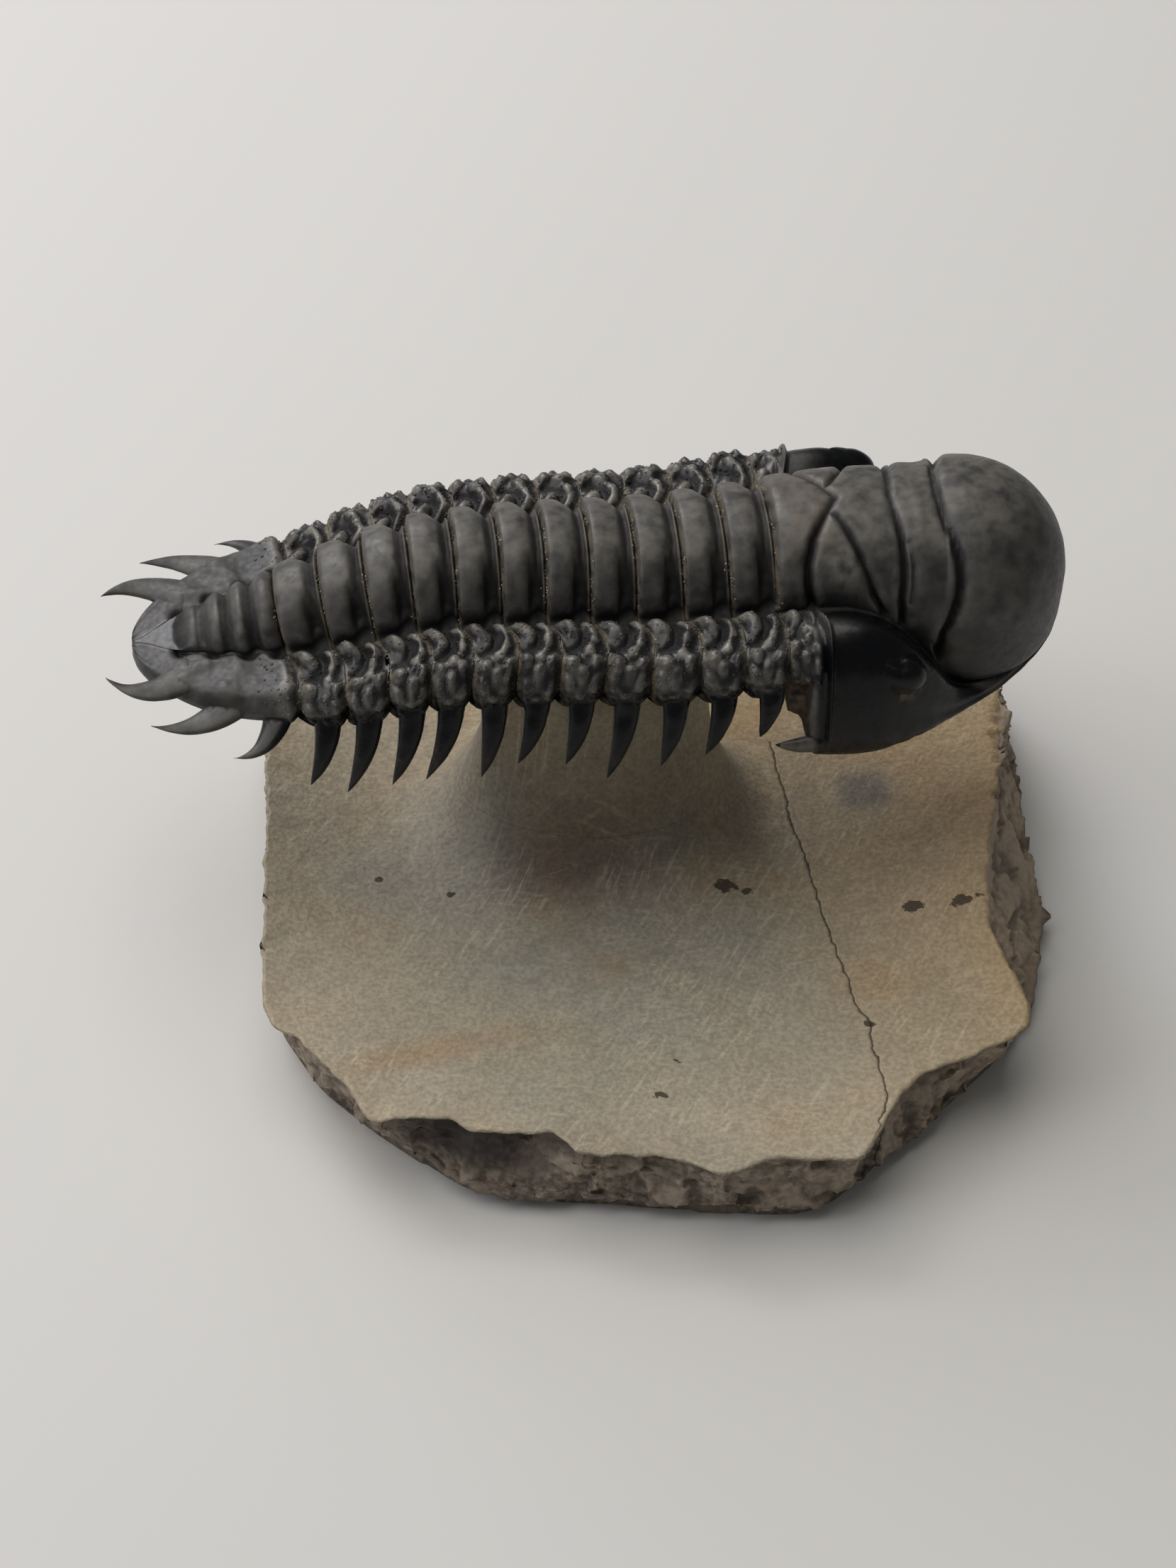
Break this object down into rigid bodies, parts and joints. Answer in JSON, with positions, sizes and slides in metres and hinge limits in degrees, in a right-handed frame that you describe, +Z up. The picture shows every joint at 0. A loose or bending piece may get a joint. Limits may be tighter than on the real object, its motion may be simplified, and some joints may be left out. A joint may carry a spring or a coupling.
{
  "type": "fossil trilobite",
  "caption": "Spiny fossil trilobite with a swollen, pitted-furrow head shield, ringed thorax and spined tail, prepared in the round on a pillar of its own limestone matrix.",
  "frame": {"origin": "on the flat underside of the stone, below the middle of the animal and on its plane of symmetry", "axes": "+X from the tail to the head, +Y to the animal's left, +Z up out of the stone"},
  "size_m": [0.0944, 0.0773, 0.0477],
  "materials": {
    "black_calcite": "prepared black calcite, satin on top and glossy on the side lobes",
    "limestone_matrix": "tooled matt limestone with a rough broken edge"
  },
  "bodies": {
    "root": {"cephalon": "black_calcite", "thoracic_segment_01": "black_calcite", "thoracic_segment_02": "black_calcite", "thoracic_segment_03": "black_calcite", "thoracic_segment_04": "black_calcite", "thoracic_segment_05": "black_calcite", "thoracic_segment_06": "black_calcite", "thoracic_segment_07": "black_calcite", "thoracic_segment_08": "black_calcite", "thoracic_segment_09": "black_calcite", "thoracic_segment_10": "black_calcite", "thoracic_segment_11": "black_calcite", "pygidium": "black_calcite", "matrix_pedestal": "limestone_matrix"}
  },
  "joints": []
}
